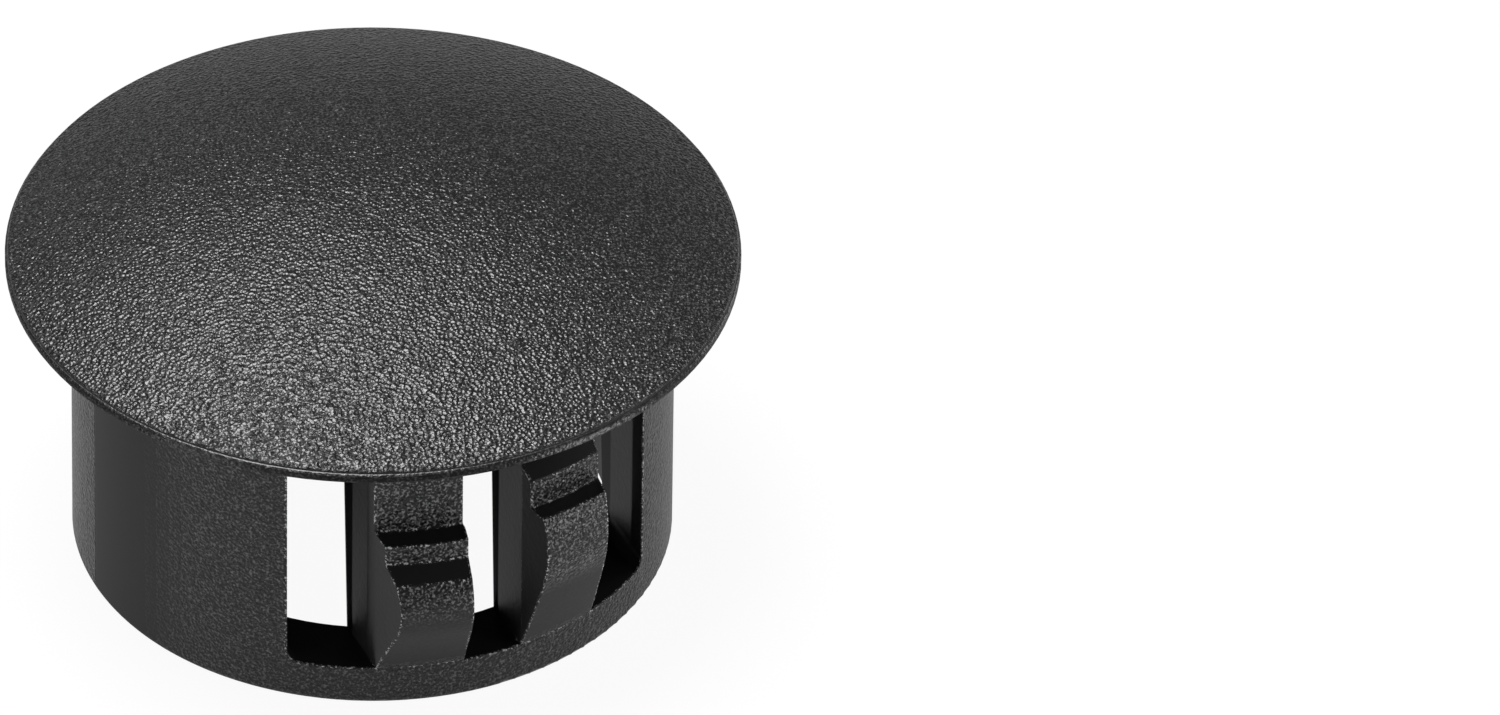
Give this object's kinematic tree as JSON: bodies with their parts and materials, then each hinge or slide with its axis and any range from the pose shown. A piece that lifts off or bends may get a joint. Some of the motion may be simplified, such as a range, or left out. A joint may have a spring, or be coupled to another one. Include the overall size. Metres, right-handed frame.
{
  "type": "plastic hole plug",
  "caption": "Snap-in plug that closes a round hole in a panel: domed head, hollow collar, and stepped spring fingers in two side windows.",
  "frame": {"origin": "middle of the collar's open end, in the plane of its rim", "axes": "+Z along the plug's axis, from the open end to the domed head; the two windows face -Y and +Y"},
  "size_m": [0.03, 0.03, 0.0168],
  "materials": {
    "black_nylon": "black nylon as moulded, with a fine spark-eroded grain on the dome, the collar and the fingers' faces, and smooth slide and core faces"
  },
  "bodies": {
    "root": {"hole_plug": "black_nylon"}
  },
  "joints": []
}
